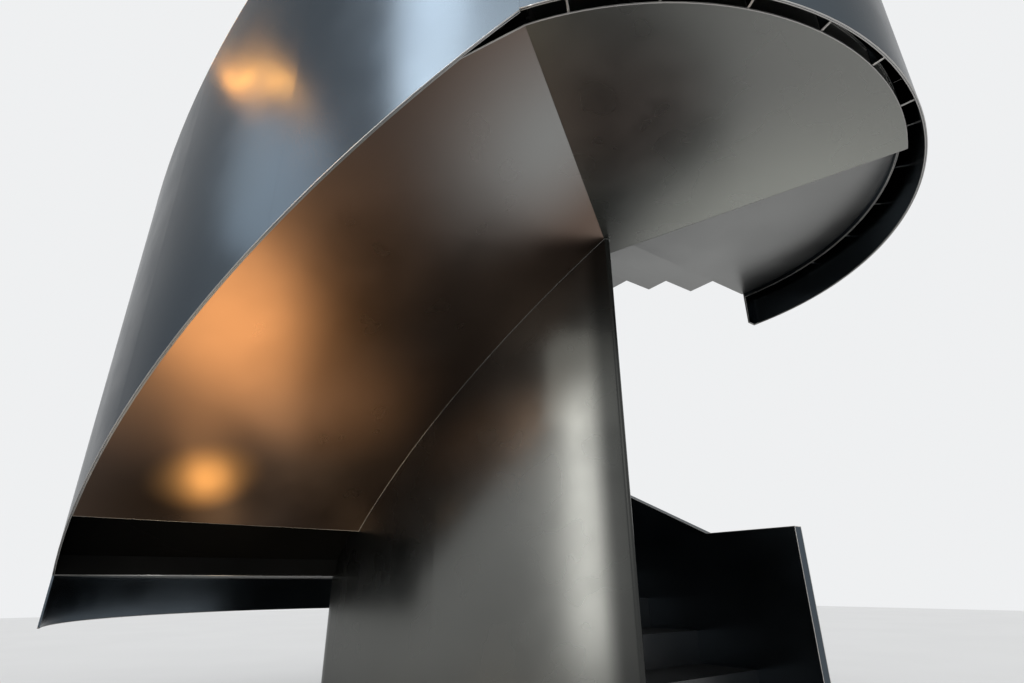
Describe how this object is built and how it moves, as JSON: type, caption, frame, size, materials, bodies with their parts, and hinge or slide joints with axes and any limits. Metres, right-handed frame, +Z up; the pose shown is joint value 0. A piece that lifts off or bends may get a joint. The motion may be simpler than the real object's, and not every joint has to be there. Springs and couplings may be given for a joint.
{
  "type": "spiral staircase",
  "caption": "Enclosed winding steel staircase, one turn about an oval core, with two landings, plate guard walls and closed soffits.",
  "frame": {"origin": "on the floor, on the upright line that the upper landing turns about, under the core's base", "axes": "+Z up, +Y along the first and last flights in the climbing direction, +X from the core to the outer wall of the first flight"},
  "size_m": [3.141, 4.6297, 4.334],
  "materials": {
    "wall_steel": "satin",
    "core_steel": "satin",
    "soffit_steel": "satin",
    "recess_steel": "matte",
    "tread_steel": "satin"
  },
  "bodies": {
    "root": {"bow_step_1": "tread_steel", "bow_step_2": "tread_steel", "bow_step_3": "tread_steel", "bow_step_4": "tread_steel", "bow_step_5": "tread_steel", "bow_step_6": "tread_steel", "bow_step_7": "tread_steel", "bow_step_8": "tread_steel", "core_back_1": "core_steel", "core_back_2": "core_steel", "core_base": "core_steel", "core_end": "core_steel", "core_front": "core_steel", "core_tip": "core_steel", "end_plate": "tread_steel", "first_step_1": "tread_steel", "first_step_2": "tread_steel", "first_step_3": "tread_steel", "first_step_4": "tread_steel", "first_step_5": "tread_steel", "last_step_1": "tread_steel", "last_step_2": "tread_steel", "last_step_3": "tread_steel", "last_step_4": "tread_steel", "lower_landing": "tread_steel", "soffit_bow_high": "soffit_steel", "soffit_bow_low": "recess_steel", "soffit_first": "soffit_steel", "soffit_lower": "soffit_steel", "soffit_upper": "soffit_steel", "upper_landing": "tread_steel", "wall_bow_1": "wall_steel", "wall_bow_2": "wall_steel", "wall_bow_3": "wall_steel", "wall_foot": "wall_steel", "wall_lower_1": "wall_steel", "wall_lower_2": "wall_steel", "wall_lower_3": "wall_steel", "wall_lower_4": "wall_steel", "wall_start": "wall_steel", "wall_upper_1": "wall_steel", "wall_upper_2": "wall_steel", "wall_upper_3": "wall_steel", "wall_upper_4": "wall_steel"}
  },
  "joints": []
}
